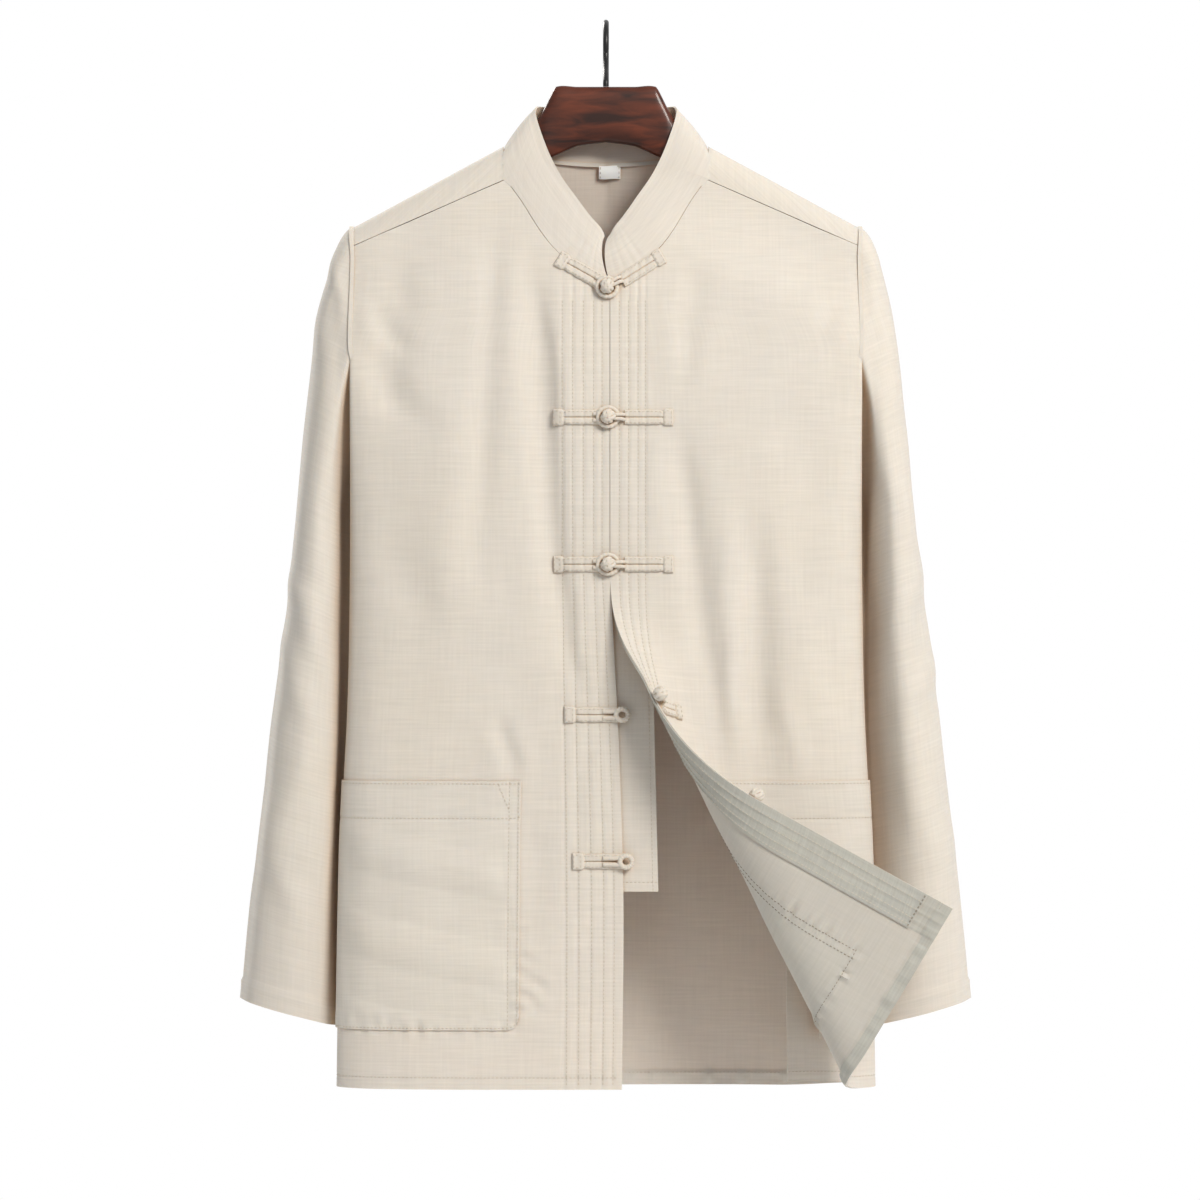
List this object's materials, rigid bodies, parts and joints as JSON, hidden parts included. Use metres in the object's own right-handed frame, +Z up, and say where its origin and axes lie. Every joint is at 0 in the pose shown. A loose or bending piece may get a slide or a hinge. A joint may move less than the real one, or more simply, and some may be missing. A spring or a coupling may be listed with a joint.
{
  "type": "stand-collar tai chi shirt on a wooden coat hanger",
  "caption": "Long-sleeved linen shirt with a stand collar, cord loop-and-knot closures and patch pockets, hanging half open on a wooden coat hanger.",
  "frame": {"origin": "inner top of the hanger's hook, where a rail holds it", "axes": "+Z up, the shirt's front faces -Y, +X is the wearer's left"},
  "size_m": [0.564, 0.191, 0.8325],
  "materials": {
    "linen": "off-white slubby plain-weave linen",
    "cord_cloth": "folded bias tape of the same linen",
    "label_cloth": "smooth blank woven label",
    "varnished_wood": "dark reddish-brown glossy varnish",
    "black_wire": "black painted steel wire"
  },
  "bodies": {
    "root": {"right_front": "linen", "left_front": "linen", "back": "linen", "right_pocket": "linen", "left_pocket": "linen", "left_facing": "linen", "right_sleeve": "linen", "left_sleeve": "linen", "collar": "linen", "under_placket": "linen", "loop_1": "cord_cloth", "loop_2": "cord_cloth", "loop_3": "cord_cloth", "loop_4": "cord_cloth", "loop_5": "cord_cloth", "knot_1": "cord_cloth", "knot_2": "cord_cloth", "knot_3": "cord_cloth", "knot_4": "cord_cloth", "knot_5": "cord_cloth", "neck_label": "label_cloth", "hanger_wood": "varnished_wood", "hanger_hook": "black_wire"}
  },
  "joints": []
}
